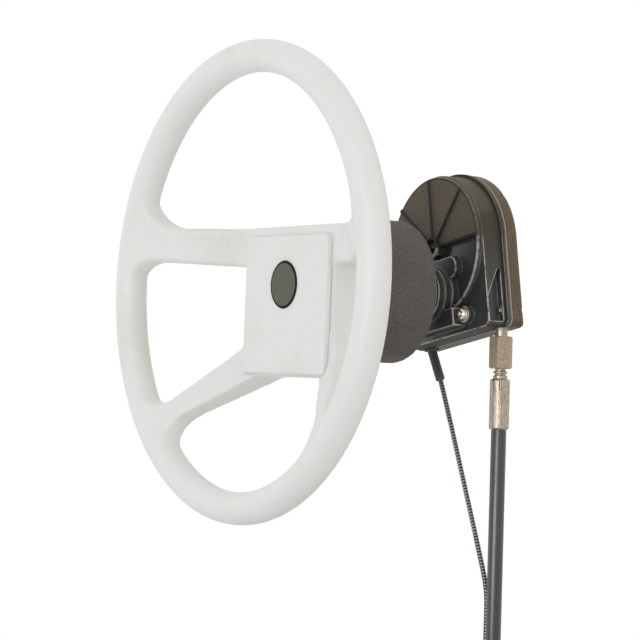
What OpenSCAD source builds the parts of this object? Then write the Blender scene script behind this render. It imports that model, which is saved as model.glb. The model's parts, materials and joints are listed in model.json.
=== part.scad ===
// Rotary steering helm for a small boat: dished wheel, dash bezel, geared cable drum and its cable.
// The shaft runs along Y, the driver sits at -Y, and the dash's front face is the plane y = 0.

/* [Wheel] */
// Outside diameter of the rim
wheel_d = 334; // [310:1:360]
// Thickness of the rim's tube
rim_d = 23; // [22:0.2:28]
// Rim plane to the bezel's nose
wheel_reach = 87; // [85:1:109]
// How far the hub's face lies behind the rim plane
hub_set = 37.5; // [36:0.5:41]
// Angle of the wheel at rest, clockwise for the driver
wheel_rest = 10.5; // [-45:0.5:45]
// Height of the level top edge of the upper spokes
spoke_top = 41.5; // [38:0.5:44]
// Height of the upper spokes' lower edge at the hub
spoke_low_in = 13.5; // [8:0.5:18]
// Height of the upper spokes' lower edge at the rim
spoke_low_out = 17.5; // [12:0.5:22]
// Half the width of the hub and its cover
pad_half = 51.5; // [46:0.5:54]
// Depth of the hub, front to back
box_depth = 28.5; // [22:0.5:30]
// Height below the shaft where the side openings end at the hub
side_low = 35; // [32:0.5:42]
// Height of the hub's bottom edge below the shaft
pad_drop = 64; // [58:0.5:70]
// Half the length of that level bottom edge
pad_flat = 40; // [30:0.5:44]
// Angle below level where the lower spokes' upper edge meets the rim
low_spoke_hi = 40.6; // [36:0.2:43]
// Angle below level where the lower spokes' lower edge meets the rim
low_spoke_lo = 46; // [45:0.2:54]
// How far the hub's cover stands proud
pad_proud = 4; // [3.5:0.5:6]
// Diameter of the badge
badge_d = 34; // [26:0.5:38]

/* [Shaft] */
// Diameter of the shaft at its journal
shaft_d = 19; // [16:0.5:20]
// Length of the taper that carries the wheel
taper_len = 36; // [30:1:37]
// Diameter of the thread for the wheel nut
thread_d = 12; // [10:0.5:14]
// Diameter of the pinion's seat
seat_d = 8; // [7:0.5:9]
// Width of the key on the taper
key_w = 4.8; // [4:0.1:6]

/* [Gears] */
// Tooth size: pitch diameter over the count of teeth
gear_module = 1.25; // [1.2:0.05:1.3]
// Teeth on the pinion
pinion_teeth = 12; // [12:1:13]
// Teeth on the drum's gear
gear_teeth = 44; // [42:1:46]
// Width of the gear's teeth
gear_w = 6.5; // [5.5:0.5:7]
// Play between meshing teeth
lash = 0.3; // [0.2:0.05:0.4]

/* [Housing] */
// Radius of the drum cover at its face
casing_r = 52; // [50.5:0.5:54]
// How far the flange stands out past the drum cover
flange_out = 3.5; // [3:0.5:6]
// Dash to the face of the drum cover
face_y = 38.5; // [37:0.5:39]
// Dash to the seam between the two halves
seam_y = 61; // [61:0.5:64]
// Depth of the rear cover
cover_depth = 11.5; // [11:0.5:16]
// Wall of the two halves
wall = 2.6; // [2.2:0.1:2.8]
// Thickness of the gasket
gasket_t = 1; // [0.6:0.1:1.4]
// Shaft to the underside of the housing
base_drop = 31.5; // [30:0.5:36]
// Radius of the neck that goes through the dash
neck_r = 17.5; // [16.5:0.5:19]
// Thickest dash that the neck reaches through
dash_max = 20; // [12:1:22]
// Radius of the bezel
bezel_r = 51; // [46:0.5:56]
// Depth of the bezel
bezel_depth = 41; // [34:0.5:41]
// Width of a rib on the face
rib_w = 2.4; // [1.6:0.1:3.2]
// How far the ribs stand proud
rib_h = 1.8; // [1:0.1:2.4]

/* [Cable] */
// Diameter of the cable's jacket
cable_d = 11; // [10.5:0.1:11]
// Diameter of the wound steel core
core_d = 3.8; // [3:0.1:4]
// Radius at which the core lies on the drum
core_r = 42; // [41.5:0.5:42.5]
// Width across the flats of the outlet's nut
outlet_af = 15; // [13:0.2:18]
// Length of the outlet's nut
outlet_nut_len = 23; // [18:0.5:26]
// Diameter of the ferrule
ferrule_d = 14.4; // [13.6:0.2:17]
// Length of the ferrule
ferrule_len = 36; // [30:1:40]
// Radius of the coil's innermost turn
coil_in = 45; // [44:0.5:48]
// Turns in the coil
coil_turns = 5.5; // [3.5:1:7.5]
// Width across the flats of the nut at the engine end
end_af = 28; // [24:0.5:32]
// Length of the ram at the engine end
ram_len = 280; // [270:5:320]
// Diameter of the ram
ram_d = 15.8; // [14:0.2:17]
// Diameter of the fixed tube that the ram slides on
guide_d = 9.6; // [8:0.2:11]
// Bore through the ram's end for the engine's link
link_d = 9.6; // [8:0.2:10]

/* [Fits] */
// Gap between pieces that turn past each other
slip = 0.3; // [0.25:0.05:0.4]
// Radial gap of a running fit
run_fit = 0.05; // [0.03:0.01:0.08]

/* [Hidden] */
$fn = 72;
skin = 1; // how far a cut runs past the face that it opens

// Wheel, front to back
bezel_nose = -bezel_depth;
rim_r = (wheel_d - rim_d) / 2;
rim_y = bezel_nose - wheel_reach;
face_front = rim_y + hub_set;
pad_y = face_front - pad_proud;
box_y = face_front + box_depth;
rim_sides = 20;
web_half = 8;
web_bite = 3;
web_r = rim_r - rim_d / 2 + web_bite;
opening_bite = 3.2;
arc_steps = 16;
opening_r = rim_r - rim_d / 2 + opening_bite;
flat_r = norm([pad_half, pad_half]) + 3;
top_corner = 19;
rim_corner = 16;
corner_skip = 11; // degrees of arc left free for a corner at each end
spoke_corner = 5;
side_corner = 13;
base_corner = 10;
pad_corner = 6;
pad_foot = 3;
pad_inset = 1.3;
pad_back = face_front + pad_inset;
pad_skin = 2.4;
pad_hem_top = 7;
pad_hem_low = 1.5;
pad_top = spoke_top - pad_hem_top;
pad_low = pad_drop - pad_hem_low;
pad_collar = 2;
pad_collar_len = 5;
cavity_r = 24;
cavity_depth = 12.5;
hub_y = pad_y + cavity_depth;
bezel_gap = 2;
boss_y = bezel_nose - bezel_gap;
boss_r = 22;
insert_r = 17;
badge_seat = pad_y + pad_skin / 2;
badge_proud = 0.8;
badge_bevel = 0.8;
hub_washer_t = 2;
hub_washer_r = insert_r - 4;
wheel_nut_t = 7;
nut_spread = 1.72; // across a nut's corners over its thread

// Housing
flange_t = 4;
gasket_inset = 0.3;
cover_inset = 0.4;
recess = 3.5;
recess_y = face_y + recess;
face_edge = 1;
face_draft = 1.2;
body_out = 1;
cover_y0 = seam_y + gasket_t;
cover_y1 = cover_y0 + cover_depth;
cavity_front = recess_y + wall;
cavity_back = cover_y1 - wall;
core_room = 2;
drum_room = core_r + core_d / 2 + core_room;
screw_r = 2;
screw_edge = 2.8; // least material round a screw of the cover
flange_r = max(casing_r + flange_out, drum_room + 2 * (screw_r + screw_edge));
lane_half = 3.4;
lip = 2.2;
neck_front = -13;
neck_bore = 13;
neck_shoulder = 4;
neck_shoulder_t = 2.5;
neck_rings = 3;
neck_ring_first = 1.5;
neck_ring_out = 0.9;
lug_half = 27;
lug_r = 8;
lug_edge = 0.5;
lug_z = 16.5;
lug_h = 6;
shelf_half = 25;
shelf_low = -27;
shelf_h = 13;
shelf_y = dash_max + 11.7;
rib_ring = 9;
rib_ring_wall = 3;
rib_ring_h = 1.6;
pocket_depth = 4;
pocket_edge = 1.5;
pocket_rise = 3.5;
pocket_bend = -10;
pocket_top = 10;
pocket_slant = 2;
pinion_room = 4;
hub_wall = 4;
axle_seat = 2.2;
cover_axle_seat = 1.5;
shoulder_x = 31;
shoulder_z = -20;
shoulder_h = 2;
boss_wall = 4;
screw_reach = 6;
screw_washer_r = 5.4;
screw_washer_t = 0.8;
pan_r = 3.8;
pan_h = 2.4;
pan_edge = 1.2;
key_socket_r = 1.6;
key_socket_floor = 0.9;
cover_screw_angles = [35, 90, 145];
cover_screw_len = 9;
cover_head_r = 3.2;
cover_head_h = 2;
cover_head_room = 0.4;
cover_head_sink = 4;
cover_edge = 4;
corner_r = 6;
nut_t = 8;
neck_nut_spread = 1.52;
plate_t = 3;
seal_len = 6;
bezel_wall = 2.5;
bezel_rim = 9;
nose_r = 24.5;

// Shaft, front to back
axial = 0.4; // play along the shaft between one piece and the next
taper_gap = 1.5;
thread_gap = 0.8;
taper_end = boss_y - taper_gap;
taper_start = taper_end - taper_len;
taper_ratio = 12;
thread_end = pad_y + pad_skin + thread_gap;
journal_end = cavity_front + axial;
washer_t = 1.8;
pinion_y = journal_end + washer_t + axial / 2;
pinion_w = gear_w + 2 * axial;
clip_y = pinion_y + pinion_w + axial / 4;
clip_t = 1;
clip_out = 1.8;
clip_mouth = 3;
clip_groove = 0.6;
shaft_end = clip_y + clip_t + clip_t;
key_len = 18;
key_y = (taper_start + taper_end) / 2;
key_low = 6.6;
key_high = 11.2;
seat_flat = seat_d / 2 - 0.8;

// Gears and drum
drum_z = gear_module * (pinion_teeth + gear_teeth) / 2;
core_y = seam_y + gasket_t / 2;
drum_half = 4;
drum_y0 = core_y - drum_half;
drum_y1 = core_y + drum_half;
drum_r = core_r - core_d / 2 - slip;
drum_teeth = 60;
gear_y = pinion_y + axial;
gear_root = 1.2; // depth of a tooth below the pitch circle, in modules
gear_tip = 0.85; // height above it
flank = 20; // angle of a tooth's flank
drum_tooth_h = 1.2;
rivet_r = 2;
rivet_ring = 17;
rivet_head = 0.9;
rivet_head_out = 1.4;
gear_hub_r = rivet_ring + 6;
axle_r = 6;
bush_r = 9;
bush_y0 = gear_y - axial;
bush_y1 = drum_y1 + axial;
drum_washer_t = 0.8;
boss_y0 = bush_y0 - drum_washer_t - axial;
boss_y1 = bush_y1 + drum_washer_t + axial;

// Outlets and cable
outlet_x = core_r;
lean = [-1, 0, -6];
stub_lean = [1, 0, -3];
outlet = [outlet_x, core_y, -base_drop];
stub_at = [-outlet_x, core_y, -base_drop];
nut_at = 5.5;
nut_chamfer = 1.2;
nut_turn = -7.5;
socket_r = 4.5;
socket_in = 9;
spigot_len = 9;
spigot_rim_r = 5.4;
spigot_rim = 1.4;
spigot_floor = 1.8;
collar_len = 7.5;
collar_r = 3.9;
collar_seat_r = 4.4;
collar_ring_r = 5.2;
collar_rings = [[5.5, 4], [2.5, 0]]; // each one's start and end, up from the ferrule
collar_in = 7;
ferrule_edge = 1;
ferrule_slot = [1.6, 8]; // width and length of the slot in its end
ferrule_slot_at = 215;
ferrule_hold = 13;
ferrule_at = nut_at + outlet_nut_len + collar_len;
stub_len = 25.3;
stub_r = 3.4;
cord_fit = 0.15;
jacket_bore = cable_d / 2 + cord_fit;
stub_hold = 12;
tip_hold = 4;
jacket_route = [
  [31, 61.5, -97.5], [29, 61.5, -109.5], [26, 61.5, -127.5], [23, 61.5, -145.5], [20, 61.5, -163.5],
  [17, 61.5, -181.5], [14, 61.5, -199.5], [11, 61.5, -217.5], [8, 61.5, -235.5], [5, 61.5, -253.5],
  [2, 61.5, -271.5], [-2.5, 61.5, -285.5], [-10, 61.5, -297.5], [-20.5, 61.5, -307],
  [-33, 61.5, -313.5], [-42, 61.5, -316], [-51, 61.5, -317], [-59, 61.5, -317]
];
core_route = [
  [-37, 61.5, -46.5], [-34, 61.5, -55.5], [-31.2, 61.5, -66], [-28.5, 61.5, -77], [-25.6, 61.5, -89],
  [-22.8, 61.5, -101], [-20, 61.5, -113], [-17.2, 61.5, -125], [-14.4, 61.5, -137],
  [-11.6, 61.5, -149], [-8.8, 61.5, -161], [-6, 61.5, -173], [-3.3, 61.5, -185], [-0.6, 61.5, -197],
  [1.3, 61.5, -207], [1.9, 61.5, -215], [1.5, 61.5, -222], [0.6, 61.5, -228], [-0.4, 61.5, -234],
  [-1.4, 61.5, -240], [-2.4, 61.5, -246], [-3.4, 61.5, -252]
];
tip_at = [-3, 61.5, -249.6];
tip_len = 14;
tip_r = 2.6;

// Coil: it spirals in on the upper layer, drops in the half turn at the middle and spirals out below
coil_start = jacket_route[len(jacket_route) - 1];
coil_step = cable_d + 0.6;
coil_out = coil_in + coil_step * coil_turns / 2;
coil_x = coil_start.x - cable_d;
coil_cy = coil_start.y - coil_out;
coil_low = coil_start.z - coil_step;
tie_t = 1.2;
tie_w = 6;
tie_gap = 0.2;
floor_z = coil_low - cable_d / 2 - tie_t - tie_gap;
end_z = floor_z + end_af / 2;
tail_run = 12;
tail_rise = 48;
end_x = coil_x + tail_run + tail_rise;
end_y = coil_cy - coil_out;
end_ferrule_len = 40;
end_nut_len = 22;
end_face = end_x + end_ferrule_len;
ram_back = 24; // gap behind the ram that lets it draw back
ram_x = end_face + end_nut_len + ram_back;
ram_head = 26;
link_in = 14;
guide_end = ram_x + ram_len - ram_head - ram_back - skin;

function smooth(t) = t <= 0 ? 0 : t >= 1 ? 1 : t * t * (3 - 2 * t);
function coil_radius(t) = coil_in + coil_step * abs(t - coil_turns / 2);
function coil_height(t) = coil_start.z - coil_step * smooth((t - coil_turns / 2 + 0.25) / 0.5);
function coil_point(t) = [
  coil_x + coil_radius(t) * cos(90 + 360 * t), coil_cy + coil_radius(t) * sin(90 + 360 * t), coil_height(t)
];
coil_path = concat(
  [coil_start],
  [for (i = [0:24 * coil_turns]) coil_point(i / 24)],
  [for (i = [0:4])
    [coil_x + tail_run + tail_rise * i / 4, end_y, coil_low + (end_z - coil_low) * smooth(i / 4)]],
  [[end_x + cable_d, end_y, end_z]]
);
coil_gap = min([for (i = [0:len(coil_path) - 13]) min([for (j = [i + 12:len(coil_path) - 1])
  norm(coil_path[i] - coil_path[j])])]) - cable_d;
echo(coil_gap = coil_gap);

// A tube of a few flat sides along a path; ref is a direction that the path never takes
function unit(v) = v / norm(v);
function heading(path, i) = unit(path[min(i + 1, len(path) - 1)] - path[max(i - 1, 0)]);
function across(t, ref) = unit(ref - (ref * t) * t);
function hoop(p, t, ref, r, sides) = let (n = across(t, ref), b = cross(t, n))
  [for (k = [0:sides - 1]) p + r * (cos(360 * k / sides) * n + sin(360 * k / sides) * b)];

module tube(path, r, sides, ref) {
  last = (len(path) - 1) * sides;
  polyhedron(
    [for (i = [0:len(path) - 1]) each hoop(path[i], heading(path, i), ref, r, sides)],
    concat(
      [for (i = [0:len(path) - 2]) for (k = [0:sides - 1]) let (a = i * sides, n = (k + 1) % sides)
        each [[a + k, a + sides + k, a + sides + n], [a + k, a + sides + n, a + n]]],
      [for (k = [1:sides - 2]) [0, k, k + 1]],
      [for (k = [1:sides - 2]) [last, last + k + 1, last + k]]
    )
  );
}

// Outlines with rounded corners: each point is x, y and its corner's radius
function turn(v, a) = [v.x * cos(a) - v.y * sin(a), v.x * sin(a) + v.y * cos(a)];
function flat(p) = [p[0], p[1]];
function corner(a, b, c, r) = r == 0 ? [b] : let (
    u = unit(a - b), w = unit(c - b), half = acos(u * w) / 2, m = b + unit(u + w) * r / sin(half),
    s = b + u * r / tan(half) - m, sweep = (cross(u, w) > 0 ? -1 : 1) * (180 - 2 * half)
  ) [for (i = [0:6]) m + turn(s, sweep * i / 6)];
function rounded(p) = let (n = len(p))
  [for (i = [0:n - 1]) each corner(flat(p[(i + n - 1) % n]), flat(p[i]), flat(p[(i + 1) % n]), p[i][2])];
// An arc whose two ends take a corner radius
function rim_point(a, r) = [opening_r * cos(a), opening_r * sin(a), r];
function rim_arc(a0, a1, n, r) = concat(
  [rim_point(a0, r)],
  [for (i = [0:n]) rim_point(a0 + corner_skip + (a1 - a0 - 2 * corner_skip) * i / n, 0)],
  [rim_point(a1, r)]
);

// Teeth with straight flanks, the first one pointing along x
function teeth(count, root, pitch, tip, half) = [for (i = [0:count - 1]) each [
  for (q = [[root, -half - (pitch - root) * tan(flank)], [tip, -half + (tip - pitch) * tan(flank)],
      [tip, half - (tip - pitch) * tan(flank)], [root, half + (pitch - root) * tan(flank)]])
    let (a = 360 * i / count + q[1] / q[0] * 180 / PI) q[0] * [cos(a), sin(a)]]];

module gear_outline(count) {
  pitch = gear_module * count / 2;
  polygon(teeth(count, pitch - gear_root * gear_module, pitch, pitch + gear_tip * gear_module,
    PI * gear_module / 4 - lash / 2));
}

// A flat outline, x to the right and y up, given depth along Y
module along(y0, y1) {
  translate([0, y1, 0]) rotate([90, 0, 0]) linear_extrude(y1 - y0) children();
}

module rod(r, y0, y1) {
  along(y0, y1) circle(r);
}

module sleeve(r0, r1, y0, y1) {
  along(y0, y1) difference() {
    circle(r1);
    circle(r0);
  }
}

// A profile of radius and y, turned about the shaft's line
module turned() {
  rotate([-90, 0, 0]) rotate_extrude() children();
}

module at_drum() {
  translate([0, 0, drum_z]) children();
}

// Length along a line that leaves a point in a given direction
module along_line(p, dir) {
  translate(p) rotate([0, atan2(dir.x, dir.z), 0]) children();
}

module stretch(r, s0, s1) {
  translate([0, 0, s0]) cylinder(r = r, h = s1 - s0);
}

// Wheel and what turns with it
module side_opening() {
  polygon(rounded(concat(
    [[-pad_half, -side_low, side_corner]],
    [[-pad_half, spoke_low_in, spoke_corner]],
    rim_arc(180 - asin(spoke_low_out / opening_r), 180 + low_spoke_hi, arc_steps, rim_corner)
  )));
}

module spokes_outline() {
  top = asin(spoke_top / opening_r);
  difference() {
    circle(rim_r);
    polygon(rounded(rim_arc(top, 180 - top, 2 * arc_steps, top_corner)));
    side_opening();
    mirror([1, 0]) side_opening();
    polygon(rounded(concat([[pad_flat, -pad_drop, base_corner], [-pad_flat, -pad_drop, base_corner]],
      rim_arc(180 + low_spoke_lo, 360 - low_spoke_lo, arc_steps, rim_corner))));
  }
}

module pad_outline(gap) {
  w = pad_half + gap;
  high = pad_top + gap;
  low = -pad_low - gap;
  polygon(rounded([[w, high, pad_corner], [-w, high, pad_corner], [-w, low, pad_foot], [w, low, pad_foot]]));
}

module steering_wheel() {
  color("whitesmoke") rotate([0, wheel_rest, 0]) difference() {
    union() {
      turned() polygon([for (i = [0:rim_sides - 1]) let (a = 360 * (i + 0.5) / rim_sides)
        [rim_r + rim_d / 2 * cos(a), rim_y + rim_d / 2 * sin(a)]]);
      intersection() {
        along(rim_y - rim_d, boss_y) spokes_outline();
        turned() polygon([[0, face_front], [flat_r, face_front], [web_r, rim_y - web_half], [rim_r, rim_y - web_half],
          [rim_r, rim_y + web_half], [web_r, rim_y + web_half], [flat_r, box_y], [0, box_y]]);
      }
      rod(boss_r, box_y - skin, boss_y);
    }
    along(pad_y - skin, pad_back) pad_outline(slip / 2);
    rod(cavity_r, face_front - skin, hub_y);
    rod(insert_r, hub_y - skin, boss_y + skin);
  }
}

module hub_pad() {
  color("whitesmoke") rotate([0, wheel_rest, 0]) difference() {
    union() {
      along(pad_y, pad_back - run_fit) pad_outline(0);
      rod(cavity_r - slip / 2, face_front, face_front + pad_collar_len);
    }
    rod(cavity_r - pad_collar, pad_y + pad_skin, face_front + pad_collar_len + skin);
    rod(badge_d / 2 + slip / 2, pad_y - skin, badge_seat);
  }
}

module centre_badge() {
  front = pad_y - badge_proud;
  color("darkslategray") turned() polygon([[0, front], [badge_d / 2 - badge_bevel, front],
    [badge_d / 2, front + badge_bevel], [badge_d / 2, badge_seat], [0, badge_seat]]);
}

function taper_r(y) = shaft_d / 2 - (taper_end - y) / (2 * taper_ratio);

module keyway(gap) {
  translate([-key_w / 2 - gap, key_y - key_len / 2 - gap, key_low - gap])
    cube([key_w + 2 * gap, key_len + 2 * gap, key_high - key_low + 2 * gap]);
}

module hub_insert() {
  color("silver") difference() {
    rod(insert_r - run_fit / 2, hub_y, boss_y);
    turned() polygon([[0, hub_y - skin], [taper_r(hub_y - skin) + run_fit, hub_y - skin],
      [taper_r(taper_end) + run_fit, taper_end], [shaft_d / 2 + run_fit, boss_y + skin], [0, boss_y + skin]]);
    keyway(run_fit);
  }
}

module wheel_washer() {
  color("silver") sleeve(thread_d / 2 + run_fit, hub_washer_r, hub_y - hub_washer_t, hub_y);
}

module wheel_nut() {
  seat = hub_y - hub_washer_t;
  color("silver") along(seat - wheel_nut_t, seat) difference() {
    circle(thread_d / 2 * nut_spread, $fn = 6);
    circle(thread_d / 2 + run_fit);
  }
}

module drive_shaft() {
  color("silver") difference() {
    turned() polygon([[0, thread_end], [thread_d / 2, thread_end], [thread_d / 2, taper_start],
      [taper_r(taper_start), taper_start], [shaft_d / 2, taper_end], [shaft_d / 2, journal_end],
      [seat_d / 2, journal_end], [seat_d / 2, shaft_end], [0, shaft_end]]);
    keyway(run_fit);
    translate([-seat_d, pinion_y, seat_flat]) cube([2 * seat_d, shaft_end, seat_d]);
    sleeve(seat_d / 2 - clip_groove, seat_d, clip_y - run_fit, clip_y + clip_t + run_fit);
  }
}

module shaft_key() {
  color("gray") keyway(0);
}

module thrust_washer() {
  color("goldenrod") sleeve(seat_d / 2 + run_fit, shaft_d / 2, journal_end + run_fit, journal_end + washer_t);
}

module drive_pinion() {
  color("dimgray") along(pinion_y, pinion_y + pinion_w) difference() {
    rotate(90) gear_outline(pinion_teeth);
    intersection() {
      circle(seat_d / 2 + run_fit);
      translate([-seat_d, -seat_d]) square([2 * seat_d, seat_d + seat_flat + run_fit]);
    }
  }
}

module shaft_clip() {
  color("gray") along(clip_y, clip_y + clip_t) difference() {
    circle(seat_d / 2 + clip_out);
    circle(seat_d / 2 - clip_groove + run_fit);
    translate([-clip_mouth / 2, -seat_d]) square([clip_mouth, seat_d]);
  }
}

// Dash side
function dome(r, depth, n) = [for (i = [0:n]) let (a = 90 * i / n)
  [nose_r + (r - nose_r) * cos(a), -bezel_rim - (depth - bezel_rim) * sin(a)]];

module dash_bezel() {
  inner = bezel_r - bezel_wall;
  hollow = dome(inner, bezel_depth - bezel_wall, 12);
  color("dimgray") turned() polygon(concat([[bezel_r, 0]], dome(bezel_r, bezel_depth, 16),
    [[nose_r - bezel_wall, -bezel_depth], [nose_r - bezel_wall, -bezel_depth + bezel_wall]],
    [for (i = [len(hollow) - 1:-1:0]) hollow[i]], [[inner, 0]]));
}

module bezel_plate() {
  color("black") sleeve(neck_r + slip, bezel_r - bezel_wall - run_fit, -plate_t, 0);
}

module neck_nut() {
  color("gray") along(-plate_t - nut_t, -plate_t) difference() {
    circle(neck_r * neck_nut_spread, $fn = 6);
    circle(neck_r + run_fit);
  }
}

module housing_outline(r) {
  translate([0, drum_z]) circle(r);
  polygon(rounded([[r, drum_z, 0], [-r, drum_z, 0], [-r, -base_drop, corner_r], [r, -base_drop, corner_r]]));
}

module lanes() {
  for (x = [-core_r, core_r]) {
    translate([x - lane_half, -base_drop - skin]) square([2 * lane_half, drum_z + base_drop + skin]);
  }
}

module drum_room_outline() {
  translate([0, drum_z]) circle(drum_room);
  circle(gear_module * pinion_teeth / 2 + pinion_room);
}

module cover_screw_spots() {
  ring = (drum_room + flange_r) / 2;
  for (a = cover_screw_angles) {
    translate([ring * cos(a), 0, drum_z + ring * sin(a)]) children();
  }
  for (x = [-1, 1]) {
    translate([x * (core_r + lane_half + flange_r) / 2, 0, shoulder_z]) children();
  }
}

module shoulder_spots() {
  for (x = [-shoulder_x, shoulder_x]) {
    translate([x, 0, shoulder_z]) children();
  }
}

module screw_holes(y0, y1) {
  shoulder_spots() rod(screw_r + run_fit, y0, y1);
  cover_screw_spots() rod(screw_r + run_fit, y0, y1);
}

module casing_ribs() {
  start = rib_ring - rib_ring_wall / 2;
  at_drum() {
    for (a = [0:45:180]) {
      rotate([0, -a, 0]) translate([start, face_y - rib_h, -rib_w / 2])
        cube([casing_r - lip / 2 - start, rib_h + recess, rib_w]);
    }
    along(face_y - rib_h - rib_ring_h, recess_y) difference() {
      circle(rib_ring, $fn = 8);
      circle(rib_ring - rib_ring_wall, $fn = 8);
    }
  }
}

module casing_recess() {
  at_drum() along(face_y - skin, recess_y) intersection() {
    circle(casing_r - lip);
    translate([-casing_r, -2 * casing_r]) square([2 * casing_r, 2 * casing_r]);
  }
}

module casing_neck() {
  step = (recess_y - dash_max) / (neck_rings + 1);
  rod(neck_r, neck_front, recess_y + skin);
  rod(neck_r + neck_shoulder, dash_max, dash_max + neck_shoulder_t);
  for (i = [0:neck_rings - 1]) {
    rod(neck_r + neck_ring_first + neck_ring_out * i, dash_max + step * (i + 1), recess_y + skin);
  }
  along(recess_y - lug_h, recess_y + skin) translate([0, lug_z]) polygon(rounded([
    for (c = [[1, 1], [-1, 1], [-1, -1], [1, -1]]) [c.x * lug_half, c.y * lug_r, lug_r - lug_edge]]));
  translate([-shelf_half, shelf_y, shelf_low]) cube([2 * shelf_half, recess_y + skin - shelf_y, shelf_h]);
}

module side_pocket() {
  front = recess_y + pocket_edge;
  back = seam_y - flange_t - pocket_edge;
  low = pocket_rise - base_drop;
  translate([casing_r - pocket_depth, 0, 0]) rotate([90, 0, 90]) linear_extrude(pocket_depth + flange_out + skin)
    polygon([[front, low], [back, low], [back, pocket_top], [back - pocket_slant, pocket_top], [front, pocket_bend]]);
}

module front_casing() {
  color([0.16, 0.14, 0.13]) difference() {
    union() {
      along(seam_y - flange_t, seam_y) housing_outline(flange_r);
      along(recess_y, seam_y - skin) housing_outline(casing_r + body_out);
      difference() {
        at_drum() turned() polygon([[0, face_y], [casing_r - face_edge, face_y], [casing_r, face_y + face_edge],
          [casing_r + face_draft, seam_y - skin], [0, seam_y - skin]]);
        casing_recess();
      }
      casing_ribs();
      casing_neck();
      shoulder_spots() rod(screw_r + boss_wall, face_y - shoulder_h, recess_y + skin);
    }
    along(cavity_front, seam_y + skin) drum_room_outline();
    along(core_y - lane_half, seam_y + skin) lanes();
    rod(neck_bore, neck_front - skin, face_y);
    rod(shaft_d / 2 + slip, face_y - skin, cavity_front + skin);
    at_drum() rod(axle_r + run_fit, cavity_front - axle_seat, cavity_front + skin);
    shoulder_spots() rod(screw_r + run_fit, face_y - shoulder_h - skin, seam_y + skin);
    cover_screw_spots() rod(screw_r + run_fit, seam_y - cover_screw_len, seam_y + skin);
    side_pocket();
    mirror([1, 0, 0]) side_pocket();
  }
  color([0.16, 0.14, 0.13]) at_drum() difference() {
    rod(axle_r + hub_wall, cavity_front - run_fit, boss_y0);
    rod(axle_r + run_fit, cavity_front - skin, boss_y0 + skin);
  }
}

module casing_gasket() {
  color("black") difference() {
    along(seam_y, cover_y0) difference() {
      housing_outline(flange_r - gasket_inset);
      drum_room_outline();
      lanes();
    }
    screw_holes(seam_y - skin, cover_y0 + skin);
  }
}

module rear_cover() {
  r = flange_r - cover_inset;
  edge = [for (i = [0:6]) [r, cover_y1] + cover_edge * [cos(15 * i) - 1, sin(15 * i) - 1]];
  color([0.24, 0.2, 0.17]) difference() {
    intersection() {
      along(cover_y0, cover_y1) housing_outline(r);
      union() {
        at_drum() turned() polygon(concat([[0, cover_y0], [r, cover_y0]], edge, [[0, cover_y1]]));
        translate([0, 0, -base_drop]) linear_extrude(drum_z + base_drop)
          polygon(concat([[r, cover_y0]], edge, [for (i = [6:-1:0]) [-edge[i].x, edge[i].y]], [[-r, cover_y0]]));
      }
    }
    at_drum() difference() {
      rod(drum_room, cover_y0 - skin, cavity_back);
      rod(axle_r + hub_wall, boss_y1, cavity_back + skin);
    }
    along(cover_y0 - skin, core_y + lane_half) lanes();
    at_drum() rod(axle_r + run_fit, cover_y0 - skin, cavity_back + cover_axle_seat);
    shoulder_spots() rod(screw_r + run_fit, cover_y0 - skin, cover_y0 + screw_reach);
    cover_screw_spots() {
      rod(screw_r + run_fit, cover_y0 - skin, cover_y1 + skin);
      rod(cover_head_r + cover_head_room, cover_y1 - cover_head_sink, cover_y1 + skin);
    }
  }
}

module shoulder_screws() {
  seat = face_y - shoulder_h - screw_washer_t;
  color("silver") shoulder_spots() {
    rod(screw_r, seat, cover_y0 + screw_reach - axial);
    difference() {
      turned() polygon([[0, seat - pan_h], [pan_r - pan_edge, seat - pan_h], [pan_r, seat - pan_h + pan_edge],
        [pan_r, seat], [0, seat]]);
      along(seat - pan_h - skin, seat - key_socket_floor) circle(key_socket_r, $fn = 6);
    }
  }
}

module shoulder_washers() {
  color("silver") shoulder_spots() sleeve(screw_r + run_fit, screw_washer_r,
    face_y - shoulder_h - screw_washer_t, face_y - shoulder_h);
}

module cover_screws() {
  seat = cover_y1 - cover_head_sink;
  color("gray") cover_screw_spots() {
    rod(screw_r, seam_y - cover_screw_len + skin, seat);
    difference() {
      rod(cover_head_r, seat, seat + cover_head_h);
      along(seat + key_socket_floor, seat + cover_head_h + skin) circle(key_socket_r, $fn = 6);
    }
  }
}

module shaft_seal() {
  color("black") sleeve(shaft_d / 2 + run_fit, neck_bore - run_fit, neck_front + skin, neck_front + skin + seal_len);
}

module front_bush() {
  color("ivory") sleeve(shaft_d / 2 + run_fit, neck_bore - run_fit, neck_front + seal_len + 2 * skin, face_y - run_fit);
}

// Drum
module drum_axle() {
  color("silver") at_drum() rod(axle_r, cavity_front - axle_seat + run_fit, cavity_back + cover_axle_seat - run_fit);
}

module drum_washers() {
  color("goldenrod") at_drum() {
    sleeve(axle_r + run_fit, axle_r + hub_wall, boss_y0 + run_fit, boss_y0 + drum_washer_t);
    sleeve(axle_r + run_fit, axle_r + hub_wall, boss_y1 - drum_washer_t, boss_y1 - run_fit);
  }
}

module rivet_spots() {
  for (a = [0:120:240]) {
    rotate([0, a, 0]) translate([rivet_ring, 0, 0]) children();
  }
}

module cable_drum() {
  color("dimgray") at_drum() difference() {
    along(drum_y0, drum_y1) difference() {
      polygon(teeth(drum_teeth, drum_r - drum_tooth_h, drum_r - drum_tooth_h / 2, drum_r,
        PI * drum_r / drum_teeth / 2));
      circle(bush_r);
    }
    rivet_spots() rod(rivet_r + run_fit, drum_y0 - skin, drum_y1 + skin);
  }
}

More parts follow.
